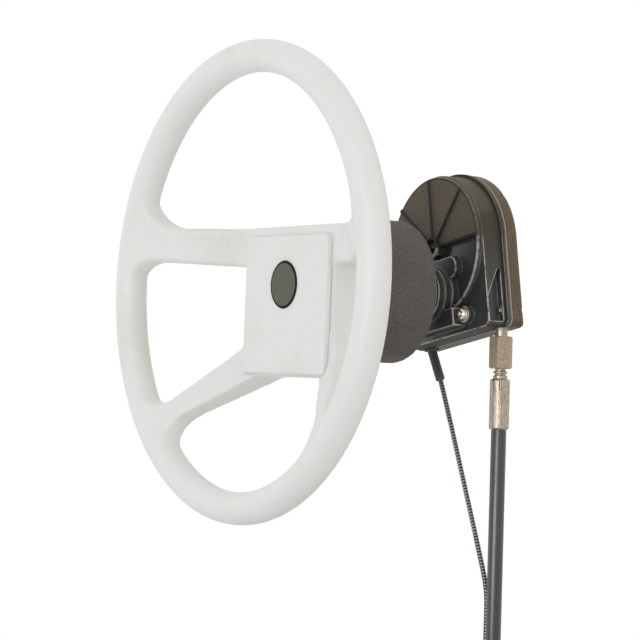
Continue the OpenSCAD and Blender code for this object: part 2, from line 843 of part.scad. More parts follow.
module drum_gear() {
  color("gray") at_drum() difference() {
    union() {
      along(gear_y, gear_y + gear_w) rotate(-90 + 180 / gear_teeth) gear_outline(gear_teeth);
      rod(gear_hub_r, gear_y, drum_y0);
    }
    rod(bush_r, gear_y - skin, drum_y0 + skin);
    rivet_spots() rod(rivet_r + run_fit, gear_y - skin, drum_y0 + skin);
  }
}

module drum_bush() {
  color("ivory") at_drum() sleeve(axle_r + run_fit, bush_r - run_fit / 2, bush_y0, bush_y1);
}

module gear_rivets() {
  color("silver") at_drum() rivet_spots() {
    rod(rivet_r, gear_y - rivet_head, drum_y1 + rivet_head);
    rod(rivet_r + rivet_head_out, gear_y - rivet_head, gear_y);
    rod(rivet_r + rivet_head_out, drum_y1, drum_y1 + rivet_head);
  }
}

module inner_core() {
  color("gray") {
    translate([0, core_y, drum_z]) rotate([90, 0, 0]) rotate_extrude(angle = 180)
      translate([core_r, 0]) circle(core_d / 2);
    for (x = [-core_r, core_r]) {
      translate([x, core_y, -base_drop + 2]) cylinder(r = core_d / 2, h = drum_z + base_drop - 2);
    }
  }
}

// Outlets
module spigot(p) {
  translate(p) difference() {
    union() {
      cylinder(r = lane_half - slip, h = spigot_len);
      translate([0, 0, -spigot_rim]) cylinder(r = spigot_rim_r, h = spigot_rim);
    }
    translate([0, 0, spigot_floor]) cylinder(r = core_d / 2 + run_fit, h = spigot_len);
  }
}

module outlet_socket() {
  color("silver") {
    spigot(outlet);
    along_line(outlet, lean) stretch(socket_r, spigot_rim / 2, nut_at + socket_in);
  }
}

// A hexagon with its corners turned off at both ends
module hex_nut(af, h) {
  corner_r = af / 2 / cos(30);
  intersection() {
    cylinder(r = corner_r, h = h, $fn = 6);
    rotate_extrude() polygon([[0, 0], [af / 2, 0], [corner_r, nut_chamfer], [corner_r, h - nut_chamfer],
      [af / 2, h], [0, h]]);
  }
}

module outlet_nut() {
  color("tan") along_line(outlet, lean) difference() {
    translate([0, 0, nut_at]) rotate(nut_turn) hex_nut(outlet_af, outlet_nut_len);
    stretch(socket_r + run_fit, nut_at - skin, nut_at + outlet_nut_len + skin);
  }
}

module outlet_collar() {
  top = nut_at + socket_in + skin;
  color("tan") along_line(outlet, lean) {
    stretch(collar_r, top, ferrule_at + collar_in);
    stretch(collar_seat_r, top, nut_at + outlet_nut_len);
    for (ring = collar_rings) {
      stretch(collar_ring_r, ferrule_at - ring[0], ferrule_at - ring[1]);
    }
  }
}

module cable_ferrule() {
  r = ferrule_d / 2;
  end = ferrule_at + ferrule_len;
  color("tan") along_line(outlet, lean) difference() {
    rotate_extrude() polygon([[0, ferrule_at], [r - ferrule_edge, ferrule_at], [r, ferrule_at + ferrule_edge],
      [r, end - ferrule_edge], [r - ferrule_edge, end], [0, end]]);
    rotate(ferrule_slot_at) translate([(collar_r + r) / 2, -ferrule_slot[0] / 2, ferrule_at - skin])
      cube([r, ferrule_slot[0], ferrule_slot[1] + skin]);
    stretch(collar_r + run_fit, ferrule_at - skin, ferrule_at + collar_in + skin);
    stretch(jacket_bore, end - ferrule_hold, end + skin);
  }
}

module cable_jacket() {
  color([0.08, 0.08, 0.09]) tube(jacket_route, cable_d / 2, 10, [0, 1, 0]);
}

module cable_coil() {
  color([0.08, 0.08, 0.09]) tube(coil_path, cable_d / 2, 6, [0, 0, 1]);
}

module coil_tie() {
  grip = cable_d / 2 + tie_gap;
  inner = coil_in + coil_step / 2 - grip;
  outer = coil_out - coil_step / 4 + grip;
  low = coil_low - grip;
  high = coil_start.z + grip;
  color("black") translate([coil_x, coil_cy + tie_w / 2, 0]) rotate([90, 0, 0]) linear_extrude(tie_w)
    difference() {
      translate([-outer - tie_t, low - tie_t]) square([outer - inner + 2 * tie_t, high - low + 2 * tie_t]);
      translate([-outer, low]) square([outer - inner, high - low]);
    }
}

// Engine end, lying along X on the floor
module end_rod(r, x0, x1) {
  translate([x0, end_y, end_z]) rotate([0, 90, 0]) cylinder(r = r, h = x1 - x0);
}

module end_ferrule() {
  color("silver") difference() {
    end_rod(ferrule_d / 2, end_x, end_x + end_ferrule_len);
    end_rod(jacket_bore, end_x - skin, end_x + cable_d + skin);
  }
}

module end_nut() {
  color("silver") difference() {
    translate([end_face, end_y, end_z]) rotate([0, 90, 0]) rotate(30) hex_nut(end_af, end_nut_len);
    end_rod(guide_d / 2 + run_fit, end_face - skin, end_face + end_nut_len + skin);
  }
}

module guide_tube() {
  color("silver") difference() {
    end_rod(guide_d / 2, end_face, guide_end);
    end_rod(core_d / 2 + slip, end_face + ram_back, guide_end + skin);
  }
}

module output_ram() {
  color("lightgray") difference() {
    end_rod(ram_d / 2, ram_x, ram_x + ram_len);
    end_rod(guide_d / 2 + run_fit, ram_x - skin, ram_x + ram_len - ram_head);
    translate([ram_x + ram_len - link_in, end_y, end_z - ram_d]) cylinder(d = link_d, h = 2 * ram_d);
  }
}

module outlet_stub() {
  color([0.1, 0.1, 0.1]) {
    spigot(stub_at);
    along_line(stub_at, stub_lean) difference() {
      stretch(stub_r, spigot_rim / 2, stub_len);
      stretch(core_d / 2 + cord_fit, stub_len - stub_hold, stub_len + skin);
    }
  }
}

module spent_core() {
  color("gray") tube(core_route, core_d / 2, 8, [0, 1, 0]);
}

module core_tip() {
  color("silver") along_line(tip_at, lean) difference() {
    stretch(tip_r, 0, tip_len);
    stretch(core_d / 2 + cord_fit, -skin, tip_hold);
  }
}

steering_wheel();
hub_pad();
centre_badge();
hub_insert();
wheel_washer();
wheel_nut();
drive_shaft();
shaft_key();
thrust_washer();
drive_pinion();
shaft_clip();
dash_bezel();
bezel_plate();
neck_nut();
front_casing();
casing_gasket();
rear_cover();
shoulder_screws();
shoulder_washers();
cover_screws();
shaft_seal();
front_bush();
drum_axle();
drum_washers();
cable_drum();
drum_gear();
drum_bush();
gear_rivets();
inner_core();
outlet_socket();
outlet_nut();
outlet_collar();
cable_ferrule();
cable_jacket();
cable_coil();
coil_tie();
end_ferrule();
end_nut();
guide_tube();
output_ram();
outlet_stub();
spent_core();
core_tip();
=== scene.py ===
# %% [markdown]
# # A boat's steering helm
# A white dished wheel turns a geared drum behind the dash, and the drum pushes a steel core through a
# long cable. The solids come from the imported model, which gives every size and place. This lesson gives
# each piece its looks: soft moulded edges, cast and plated finishes, the wound core and the glossy jacket
# of the cable.

import json
from math import cos, pi, radians, sin

import bmesh
import bpy
from mathutils import Color, Matrix, Vector


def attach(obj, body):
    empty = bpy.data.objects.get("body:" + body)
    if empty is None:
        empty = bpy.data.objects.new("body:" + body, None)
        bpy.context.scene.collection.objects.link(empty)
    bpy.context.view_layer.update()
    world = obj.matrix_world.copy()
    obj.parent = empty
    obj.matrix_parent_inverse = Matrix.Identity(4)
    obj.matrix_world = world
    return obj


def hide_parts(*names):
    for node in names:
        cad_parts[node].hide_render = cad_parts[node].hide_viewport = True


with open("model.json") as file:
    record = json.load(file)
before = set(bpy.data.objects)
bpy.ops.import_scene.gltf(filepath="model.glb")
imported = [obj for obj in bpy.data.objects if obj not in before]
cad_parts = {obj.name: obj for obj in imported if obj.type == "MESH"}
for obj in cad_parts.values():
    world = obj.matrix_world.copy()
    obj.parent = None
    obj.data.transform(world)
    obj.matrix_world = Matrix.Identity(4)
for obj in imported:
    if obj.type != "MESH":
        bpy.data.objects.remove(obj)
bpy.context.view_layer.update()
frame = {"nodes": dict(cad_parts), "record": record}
solids = frame["nodes"]
MM = 0.001
scene = bpy.context.scene
scene.view_settings.view_transform = "Standard"

# %% [markdown]
# ## Camera
# The camera stands low on the driver's right and has a long lens, so the wheel shows as a narrow oval and
# the underside of the casing just shows. Three angles could turn it, but a place, a point to aim at and a
# small roll are easier to read and to correct.

# %% Camera
CAMERA_AT = Vector((1361.15, -1002.37, -326.0)) * MM
CAMERA_AIM = Vector((7.68, -71.46, -25.37)) * MM
CAMERA_ROLL = radians(3.62)
CAMERA_LENS = 135
SENSOR = 36


def place_camera():
    look = (CAMERA_AIM - CAMERA_AT).normalized()
    right = Matrix.Rotation(CAMERA_ROLL, 3, look) @ look.cross(Vector((0, 0, 1))).normalized()
    lens = bpy.data.cameras.new("photo_camera")
    lens.lens = CAMERA_LENS
    lens.sensor_width = SENSOR
    camera = bpy.data.objects.new("photo_camera", lens)
    turn = Matrix((right, right.cross(look), -look)).transposed()
    camera.matrix_world = Matrix.Translation(CAMERA_AT) @ turn.to_4x4()
    scene.collection.objects.link(camera)
    scene.camera = camera


place_camera()
print("camera", [round(v, 3) for v in CAMERA_AT], "lens", CAMERA_LENS, "mm")

# %% [markdown]
# ## Shader maths in Python
# A finish is a graph of nodes. It could be wired node by node, but long graphs are hard to read that way.
# Here a socket is wrapped in a small class, so that `1 - grain * 0.3` adds the Math nodes by itself.
# Other nodes come from one method, which sets a node's own settings first and then its sockets.


# %% Values
class Value:
    """One output socket, with arithmetic that adds Math nodes."""

    def __init__(self, graph, socket):
        self.graph = graph
        self.socket = socket

    def maths(self, operation, first, second=0.0):
        return self.graph.node("ShaderNodeMath", {"operation": operation}, {0: first, 1: second})

    def __add__(self, other):
        return self.maths("ADD", self, other)

    def __radd__(self, other):
        return self.maths("ADD", other, self)

    def __sub__(self, other):
        return self.maths("SUBTRACT", self, other)

    def __rsub__(self, other):
        return self.maths("SUBTRACT", other, self)

    def __mul__(self, other):
        return self.maths("MULTIPLY", self, other)

    def size(self):
        return self.maths("ABSOLUTE", self)

    def power(self, exponent):
        return self.maths("POWER", self, exponent)

    def most(self, other):
        return self.maths("MAXIMUM", self, other)

    def ramp(self, low, high):
        """0 below low, 1 above high and a smooth step between them."""
        sockets = {"Value": self, "From Min": low, "From Max": high}
        return self.graph.node("ShaderNodeMapRange", {"interpolation_type": "SMOOTHSTEP"}, sockets)


# %% Graphs
class Graph:
    """A node tree that makes nodes and wires them."""

    def __init__(self, tree):
        self.tree = tree

    def plug(self, socket, value):
        if isinstance(value, Value):
            self.tree.links.new(value.socket, socket)
        else:
            socket.default_value = value

    def node(self, kind, settings, sockets, output=0):
        made = self.tree.nodes.new(kind)
        for name, value in settings.items():
            setattr(made, name, value)
        for name, value in sockets.items():
            self.plug(made.inputs[name], value)
        return Value(self, made.outputs[output])

    def part(self, vector, axis):
        return self.node("ShaderNodeSeparateXYZ", {}, {"Vector": vector}, axis)

    def mix(self, share, first, second):
        return self.node("ShaderNodeMix", {"data_type": "RGBA"}, {0: share, 6: first, 7: second}, 2)


# %% Finishes
class Finish(Graph):
    """A material with one Principled shader, whose steady values are set on its own sockets."""

    def __init__(self, name, **steady):
        self.material = bpy.data.materials.new(name)
        self.material.use_nodes = True
        super().__init__(self.material.node_tree)
        self.shader = self.tree.nodes["Principled BSDF"]
        self.feed(**steady)

    def feed(self, **values):
        for socket, value in values.items():
            self.plug(self.shader.inputs[socket.replace("_", " ")], value)
        return self.material

    def place(self):
        return self.node("ShaderNodeTexCoord", {}, {}, "Object")

    def along(self, axis):
        return self.part(self.place(), axis)

    def facing(self, axis):
        return self.part(self.node("ShaderNodeTexCoord", {}, {}, "Normal"), axis)

    def underside(self):
        """1 on faces that look down."""
        return 1 - self.facing("Z").ramp(-0.9, -0.5)

    def edges(self, low, high):
        """1 on sharp outer edges, from how pointed the mesh is there."""
        return self.node("ShaderNodeNewGeometry", {}, {}, "Pointiness").ramp(low, high)

    def stretched(self, scale):
        return self.node("ShaderNodeMapping", {}, {"Vector": self.place(), "Scale": scale})

    def noise(self, per_metre, detail, roughness=0.5, vector=None):
        sockets = {"Scale": per_metre, "Detail": detail, "Roughness": roughness}
        return self.node("ShaderNodeTexNoise", {}, {"Vector": vector or self.place(), **sockets})

    def mottle(self, speckle, cloud, dark, light):
        """A colour that varies finely with speckle and widely with cloud."""
        return self.mix(speckle.ramp(0.3, 0.7) * 0.7 + cloud * 0.3, dark, light)

    def bump(self, height, depth, strength):
        return self.node("ShaderNodeBump", {}, {"Height": height, "Distance": depth, "Strength": strength})


def rgb(red, green, blue):
    """A colour as a picture shows it, in 0 to 255, as the linear values that a shader takes."""
    shown = Color((red / 255, green / 255, blue / 255))
    return (*shown.from_srgb_to_scene_linear(), 1.0)


print("a mid grey of 128 is", round(rgb(128, 128, 128)[0], 3), "to a shader")

# %% [markdown]
# ## The cable
# The cable leaves the casing in a ferrule, hangs down and is put away in a flat coil with its engine end
# beside it. A simulation could drop it, but its length is fixed and the solids follow it too. So its line
# is a list of points, and the coil's turns come from a formula. A curve with a round bevel makes the
# jacket.

# %% Routes
# Millimetres, with each drop as (x, z) in the plane of CABLE_Y
CABLE_D = 11.0
CORE_D = 3.8
CABLE_Y = 61.5
CABLE_DROP = [
    (31, -97.5), (29, -109.5), (26, -127.5), (23, -145.5), (20, -163.5), (17, -181.5), (14, -199.5),
    (11, -217.5), (8, -235.5), (5, -253.5), (2, -271.5), (-2.5, -285.5), (-10, -297.5), (-20.5, -307),
    (-33, -313.5), (-42, -316), (-51, -317), (-59, -317),
]
CORE_DROP = [
    (-37, -46.5), (-34, -55.5), (-31.2, -66), (-28.5, -77), (-25.6, -89), (-22.8, -101), (-20, -113),
    (-17.2, -125), (-14.4, -137), (-11.6, -149), (-8.8, -161), (-6, -173), (-3.3, -185), (-0.6, -197),
    (1.3, -207), (1.9, -215), (1.5, -222), (0.6, -228), (-0.4, -234), (-1.4, -240), (-2.4, -246),
    (-3.4, -252),
]
COIL_INNER = 45.0
COIL_TURNS = 5.5
COIL_GAP = 0.6
COIL_STEP = CABLE_D + COIL_GAP
COIL_OUTER = COIL_INNER + COIL_STEP * COIL_TURNS / 2
COIL_X = CABLE_DROP[-1][0] - CABLE_D
COIL_Y = CABLE_Y - COIL_OUTER
COIL_TOP = CABLE_DROP[-1][1]
LAYER_CHANGE = 0.5
STEPS_PER_TURN = 24
END_Y = COIL_Y - COIL_OUTER
END_Z = -321.5
TAIL_RUN = 12
TAIL_RISE = 48
TAIL_STEPS = 4


def smooth_step(t):
    t = min(max(t, 0.0), 1.0)
    return t * t * (3 - 2 * t)


def coil_point(turn):
    """The upper layer winds inwards, and after half the turns the lower one winds out again."""
    past_middle = turn - COIL_TURNS / 2
    radius = COIL_INNER + COIL_STEP * abs(past_middle)
    angle = pi / 2 + 2 * pi * turn
    drop = COIL_STEP * smooth_step(past_middle / LAYER_CHANGE + 0.5)
    return COIL_X + radius * cos(angle), COIL_Y + radius * sin(angle), COIL_TOP - drop


def cable_route():
    points = [(x, CABLE_Y, z) for x, z in CABLE_DROP]
    points += [coil_point(i / STEPS_PER_TURN) for i in range(int(STEPS_PER_TURN * COIL_TURNS) + 1)]
    low = COIL_TOP - COIL_STEP
    for i in range(TAIL_STEPS + 1):
        share = i / TAIL_STEPS
        rise = (END_Z - low) * smooth_step(share)
        points.append((COIL_X + TAIL_RUN + TAIL_RISE * share, END_Y, low + rise))
    points.append((COIL_X + TAIL_RUN + TAIL_RISE + CABLE_D, END_Y, END_Z))
    return [Vector(p) * MM for p in points]


def route_length(points):
    return sum((b - a).length for a, b in zip(points, points[1:]))


cable_points = cable_route()
core_points = [Vector((x, CABLE_Y, z)) * MM for x, z in CORE_DROP]
print("cable", round(route_length(cable_points), 3), "m; core", round(route_length(core_points), 3), "m")


# %% Cable
def dress(piece, body, slot, *nodes):
    """Lets a piece ride on its body and stand for the solids that it replaces."""
    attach(piece, body)
    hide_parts(*nodes)
    return piece


def make_cable():
    """The bevel is 1 m deep and each point's radius scales it, since a curve's bounds count those radii."""
    curve = bpy.data.curves.new("steering_cable", "CURVE")
    curve.dimensions = "3D"
    curve.bevel_depth = 1.0
    curve.bevel_resolution = 6
    curve.use_fill_caps = True
    spline = curve.splines.new("POLY")
    spline.points.add(len(cable_points) - 1)
    for point, at in zip(spline.points, cable_points):
        point.co = (*at, 1)
        point.radius = CABLE_D / 2 * MM
    spline.use_smooth = True
    cable = bpy.data.objects.new("steering_cable", curve)
    scene.collection.objects.link(cable)
    return dress(cable, "helm", "black_jacket", "cable_jacket", "cable_coil")


cable = make_cable()
print("cable made of", len(cable_points), "points")

# %% [markdown]
# ## The loose core
# The steel core that the drum winds out on the other side shows the wire wound round it. A bump would
# draw the stripes but leave the outline smooth. So the core is a mesh of rings along its line, and the
# radius rises and falls along a helix.


# %% Rings and meshes
def even_points(points, gap):
    """Points a steady distance apart along a line, with the direction of the line at each."""
    out = []
    left = 0.0
    for a, b in zip(points, points[1:]):
        span = (b - a).length
        while left <= span:
            out.append((a.lerp(b, left / span), (b - a).normalized()))
            left += gap
        left -= span
    return out


def mesh_piece(name, shape, smooth=True):
    """A new object from a bmesh."""
    mesh = bpy.data.meshes.new(name)
    shape.to_mesh(mesh)
    shape.free()
    for face in mesh.polygons:
        face.use_smooth = smooth
    piece = bpy.data.objects.new(name, mesh)
    scene.collection.objects.link(piece)
    return piece


def skin_rings(shape, rings, closed=False):
    """Faces between rings of vertices, with flat ends unless the rings close on themselves."""
    count = len(rings[0])
    pairs = list(zip(rings, rings[1:])) + ([(rings[-1], rings[0])] if closed else [])
    for first, second in pairs:
        for k in range(count):
            n = (k + 1) % count
            shape.faces.new((first[k], first[n], second[n], second[k]))
    if not closed:
        shape.faces.new(list(reversed(rings[0])))
        shape.faces.new(rings[-1])
    bmesh.ops.recalc_face_normals(shape, faces=shape.faces)


# %% Wound core
WIRE_PITCH = 2.3
WIRE_RISE = 0.34
WIRE_FULLNESS = 0.6
RING_SIDES = 16
RINGS_PER_PITCH = 9


def make_core():
    shape = bmesh.new()
    rings = []
    for i, (at, ahead) in enumerate(even_points(core_points, WIRE_PITCH / RINGS_PER_PITCH * MM)):
        side = Vector((0, 1, 0))
        other = ahead.cross(side)
        ring = []
        for k in range(RING_SIDES):
            angle = 2 * pi * k / RING_SIDES
            swell = abs(sin((angle + 2 * pi * i / RINGS_PER_PITCH) / 2)) ** WIRE_FULLNESS
            radius = (CORE_D / 2 - WIRE_RISE + WIRE_RISE * swell) * MM
            ring.append(shape.verts.new(at + radius * (cos(angle) * side + sin(angle) * other)))
        rings.append(ring)
    skin_rings(shape, rings)
    return dress(mesh_piece("wound_core", shape), "helm", "wound_wire", "spent_core")


core = make_core()
print("core:", len(core.data.polygons), "faces")

# %% [markdown]
# ## Light and background
# The picture is a studio cut-out: white all round, and lit so evenly that the white wheel hardly has a
# shadow. The world gives an even light to dull surfaces, and is plain white to the camera and to whatever
# mirrors it. A weak softbox near the camera fills the sides that face it, and one on the left models the
# rim. The wide panel in front is for gloss only: dull surfaces don't see it, and it draws the long
# highlight down the cable.

# %% Studio
WORLD_LEVEL = 0.87
LAMPS = {
    # name: (place, width, height, watts, lights dull surfaces), in metres
    "gloss_panel": ((0.85, -1.8, -0.1), 1.1, 1.6, 28.0, False),
    "camera_softbox": ((1.6, -1.3, -0.1), 1.0, 0.8, 2.5, True),
    "left_softbox": ((-1.6, -1.6, 0.6), 1.2, 1.2, 2.5, True),
}
LAMP_AIM = Vector((0.02, 0, -0.03))


def light_world():
    world = bpy.data.worlds.new("studio")
    scene.world = world
    world.use_nodes = True
    graph = Graph(world.node_tree)
    rays = [graph.node("ShaderNodeLightPath", {}, {}, kind)
            for kind in ("Is Camera Ray", "Is Glossy Ray", "Is Transmission Ray")]
    seen = rays[0].most(rays[1]).most(rays[2])
    backdrop = world.node_tree.nodes["Background"]
    graph.plug(backdrop.inputs["Strength"], WORLD_LEVEL + seen * (1 - WORLD_LEVEL))
    backdrop.inputs["Color"].default_value = (1, 1, 1, 1)


def hang_lamps():
    for name, (place, width, height, watts, fills) in LAMPS.items():
        lamp = bpy.data.lights.new(name, "AREA")
        lamp.shape = "RECTANGLE"
        lamp.size = width
        lamp.size_y = height
        lamp.energy = watts
        holder = bpy.data.objects.new(name, lamp)
        aim = (LAMP_AIM - Vector(place)).to_track_quat("-Z", "Y")
        holder.matrix_world = Matrix.Translation(place) @ aim.to_matrix().to_4x4()
        holder.visible_diffuse = fills
        scene.collection.objects.link(holder)


light_world()
hang_lamps()
print("lamps:", ", ".join(LAMPS))

# %% Floor
FLOOR_AT = Vector((80, -40, -337)) * MM
FLOOR_R = 0.55
FLOOR_SIDES = 128
FLOOR_TONE = (0.85, 0.85, 0.84, 1)


def lay_floor():
    shape = bmesh.new()
    bmesh.ops.create_circle(shape, cap_ends=True, segments=FLOOR_SIDES, radius=FLOOR_R)
    floor = mesh_piece("studio_floor", shape, smooth=False)
    floor.location = FLOOR_AT
    finish = Finish("pale_floor", Base_Color=FLOOR_TONE, Roughness=0.9)
    floor.data.materials.append(finish.material)


lay_floor()
print("floor at", round(FLOOR_AT.z, 3), "m, under the coil")

# %% [markdown]
# ## Moulded and cast forms
# A solid from a drawing has knife edges, and a moulding or a casting never does. A bevel modifier is the
# usual cure, but it fails where many short edges meet, as they do on these ribs. So the copy of a solid
# is remeshed in even cells and smoothed a few times, which wears every edge to a soft radius. The cells
# are well under the width of the finest rib, so that no detail goes. Where a form is softer in one place
# than another, a vertex group gives that place more passes.


# %% Soft copies of solids
def soften(piece, passes, group=""):
    step = piece.modifiers.new("soft_edges", "SMOOTH")
    step.factor = 0.5
    step.iterations = passes
    step.vertex_group = group


def settle(piece):
    """Turns the modifiers of a piece into its mesh."""
    shaped = piece.evaluated_get(bpy.context.evaluated_depsgraph_get())
    mesh = bpy.data.meshes.new_from_object(shaped)
    piece.modifiers.clear()
    piece.data = mesh


def soft_copy(node, name, cell, passes, softer=None):
    """softer is a count of passes and a function that gives each point's share of them."""
    piece = bpy.data.objects.new(name, solids[node].data.copy())
    scene.collection.objects.link(piece)
    remesh = piece.modifiers.new("even_cells", "REMESH")
    remesh.mode = "VOXEL"
    remesh.voxel_size = cell * MM
    soften(piece, passes)
    settle(piece)
    if softer:
        more_passes, share = softer
        group = piece.vertex_groups.new(name="softer")
        for vertex in piece.data.vertices:
            group.add([vertex.index], share(vertex.co), "REPLACE")
        soften(piece, more_passes, group.name)
        settle(piece)
        piece.vertex_groups.clear()
    for face in piece.data.polygons:
        face.use_smooth = True
    print(name, "has", len(piece.data.polygons), "faces")
    return piece


def paint(piece, material):
    piece.data.materials.clear()
    piece.data.materials.append(material)
    return piece


# %% [markdown]
# ## The wheel
# The wheel is one white moulding with a fine grain, and the cover over its hub has the same finish. A
# plain white would look like plaster, so the tone is warmer in faint smudges and scuffs, where hands and
# dust have been, and on faces turned to the back, where it is painted shade. The spokes and the face of the
# cover are much softer than the rim, whose tube keeps its thickness.

# %% White moulding
# Metres, as in every finish, because a shader's own places are in metres
RIM_INSIDE = 0.143
RIM_BLEND = 0.010
HUB_FACE_Y = -0.0905
FACE_BLEND = 0.001


def spokes_share(at):
    reach = (at.x ** 2 + at.z ** 2) ** 0.5
    return 1 - smooth_step((reach - RIM_INSIDE) / RIM_BLEND)


def cover_share(at):
    return 1 - smooth_step((at.y - HUB_FACE_Y) / FACE_BLEND)


def white_moulding():
    finish = Finish("white_moulding", Specular_IOR_Level=0.4)
    grain = finish.noise(1400, 2)
    smudges = finish.noise(18, 5, 0.6).ramp(0.48, 0.75)
    scuffs = finish.noise(130, 4, 0.7).ramp(0.58, 0.72) * finish.noise(25, 2).ramp(0.45, 0.65)
    # Painted shade: faces turned to the back take the warmer, darker tone.
    painted_back_shade = finish.facing("Y").ramp(-0.35, 0.9)
    dirt_and_shade = painted_back_shade * 0.35 + smudges * 0.3 + scuffs * 0.4
    tone = finish.mix(dirt_and_shade, rgb(231, 231, 229), rgb(211, 204, 190))
    relief = finish.bump(grain, 0.00012, 0.25)
    return finish.feed(Base_Color=tone, Roughness=0.42 + grain * 0.16, Normal=relief)


WHITE = white_moulding()
wheel = paint(soft_copy("steering_wheel", "white_wheel", 1.5, 4, (20, spokes_share)), WHITE)
dress(wheel, "wheel", "white_moulding", "steering_wheel")
pad = paint(soft_copy("hub_pad", "hub_cover", 0.9, 3, (26, cover_share)), WHITE)
dress(pad, "wheel", "white_moulding", "hub_pad")

# %% [markdown]
# ## The badge
# A thin disc sits in the cover: a plain grey field, a dark ring and a pale border. The ring could be a
# mesh of its own, but it is only colour on a flat face, so the distance from the middle picks the tone.
# The disc is dull, because a shine would lift the ring to grey.

# %% Badge
RING_R = 0.0148
BORDER_R = 0.0167
RING_BLEND = 0.0002


def badge_finish():
    finish = Finish("badge_grey", Specular_IOR_Level=0.12)
    across = finish.along("X")
    up = finish.along("Z")
    radius = (across * across + up * up).power(0.5)
    ring = radius.ramp(RING_R, RING_R + RING_BLEND)
    border = radius.ramp(BORDER_R, BORDER_R + RING_BLEND)
    cloud = finish.noise(260, 3)
    field = finish.mix(cloud, rgb(86, 86, 76), rgb(106, 106, 94))
    ringed = finish.mix(ring, field, rgb(10, 10, 9))
    tone = finish.mix(border, ringed, rgb(236, 236, 230))
    return finish.feed(Base_Color=tone, Roughness=0.45 + cloud * 0.2)


BADGE = badge_finish()
badge = paint(soft_copy("centre_badge", "badge_disc", 0.4, 4), BADGE)
dress(badge, "wheel", "badge_grey", "centre_badge")

# %% [markdown]
# ## The dash bezel
# The bezel is a dull grained moulding that hides the hole in the dash. One fine noise drives its colour,
# its roughness and a shallow bump, so that each grain reads as one thing. Separate noises would look like
# dirt.


# %% Bezel
def bezel_finish():
    finish = Finish("bezel_grey", Specular_IOR_Level=0.3)
    speckle = finish.noise(950, 2, 0.7)
    cloud = finish.noise(40, 3)
    tone = finish.mottle(speckle, cloud, rgb(64, 60, 55), rgb(107, 100, 93))
    relief = finish.bump(speckle, 0.0002, 0.35)
    return finish.feed(Base_Color=tone, Roughness=0.62 + speckle * 0.2, Normal=relief)


BEZEL = bezel_finish()
bezel = paint(soft_copy("dash_bezel", "grained_bezel", 0.9, 3), BEZEL)
dress(bezel, "helm", "bezel_grey", "dash_bezel")

# %% [markdown]
# ## The casing
# The casing behind the dash is cast and painted: dull brown on the fan of sectors and on its sides, with
# dark ribs, and a dark gloss in the hollow below. Its faces could each get a material, but the borders
# follow from plain distances, so one material with soft borders does it. The sharpest edges are painted
# bright, as a painted highlight where light glints along them.

# %% Casing areas
FACE_Y = 0.0385
FAN_LOW_Z = 0.0335
FAN_BLEND = 0.001
DRUM_Z = 0.035
FACE_R = 0.0505
RIB_FRONT_Y = (FACE_Y - 0.0008, FACE_Y - 0.0002)
SIDE_X = (0.0490, 0.0515)
FADE_Z = (-0.015, 0.045)
LINE_HALF = (0.0004, 0.0008)
SEAM_LINES_Y = (0.0569, 0.0609)


def casing_areas(finish):
    """How much each point belongs to the fan, the side walls, the hollow and the thin dark lines."""
    across = finish.along("X")
    depth = finish.along("Y")
    height = finish.along("Z")
    rise = height - DRUM_Z
    radius = (across * across + rise * rise).power(0.5)
    side = across.size().ramp(*SIDE_X)
    fan = height.ramp(FAN_LOW_Z - FAN_BLEND, FAN_LOW_Z + FAN_BLEND)
    ribs = fan * (1 - depth.ramp(*RIB_FRONT_Y))
    front = 1 - depth.ramp(FACE_Y, FACE_Y + FAN_BLEND)
    lines = ribs.most(fan * (1 - (radius - FACE_R).size().ramp(*LINE_HALF)) * front)
    for line in SEAM_LINES_Y:
        lines = lines.most(1 - (depth - line).size().ramp(*LINE_HALF))
    hollow = (1 - fan) * (1 - side) + (1 - height.ramp(*FADE_Z)) * side * 0.8
    return fan, side, hollow, lines


# %% Casing
def casing_finish():
    finish = Finish("dark_casting", Specular_IOR_Level=0.4)
    speckle = finish.noise(800, 2, 0.7)
    cloud = finish.noise(60, 3)
    fan, side, hollow, lines = casing_areas(finish)
    under = finish.underside()
    brown = finish.mottle(speckle, cloud, rgb(56, 49, 37), rgb(95, 85, 67))
    black = finish.mix(cloud, rgb(50, 53, 52), rgb(72, 74, 72))
    # Painted shade: the side walls are a darker brown, and faces that look down go darker still.
    shaded_walls = finish.mix(side * 0.7, brown, rgb(46, 39, 29))
    shaded = finish.mix(under * 0.6, finish.mix(hollow, shaded_walls, black), rgb(38, 36, 33))
    painted = finish.mix(lines, shaded, rgb(24, 21, 18))
    patches = finish.noise(200, 2).ramp(0.25, 0.55)
    # Painted highlight: the sharpest edges, away from the fan and the dark lines, are painted bright where
    # light glints on them.
    edge_glint = finish.edges(0.507, 0.535) * (1 - fan * 0.7) * (1 - lines) * patches
    dull = 0.58 + speckle * 0.14
    glossy = 0.18 + cloud * 0.12
    roughness = (dull * (1 - hollow) + glossy * hollow).most(under * 0.75).most(lines * 0.7)
    tone = finish.mix(edge_glint, painted, rgb(178, 174, 164))
    return finish.feed(Base_Color=tone, Roughness=roughness, Normal=finish.bump(speckle, 0.00015, 0.25))


CASTING = casing_finish()
casing = paint(soft_copy("front_casing", "ribbed_casing", 0.6, 3), CASTING)
dress(casing, "helm", "dark_casting", "front_casing")

# %% [markdown]
# ## The rear cover
# The rear half is painted a warmer brown than the front and shines a little more. Hardly any light
# reaches its underside. Weaker lamps could give that, but the wheel needs them as they are, so the paint
# itself is darker where a face looks down.


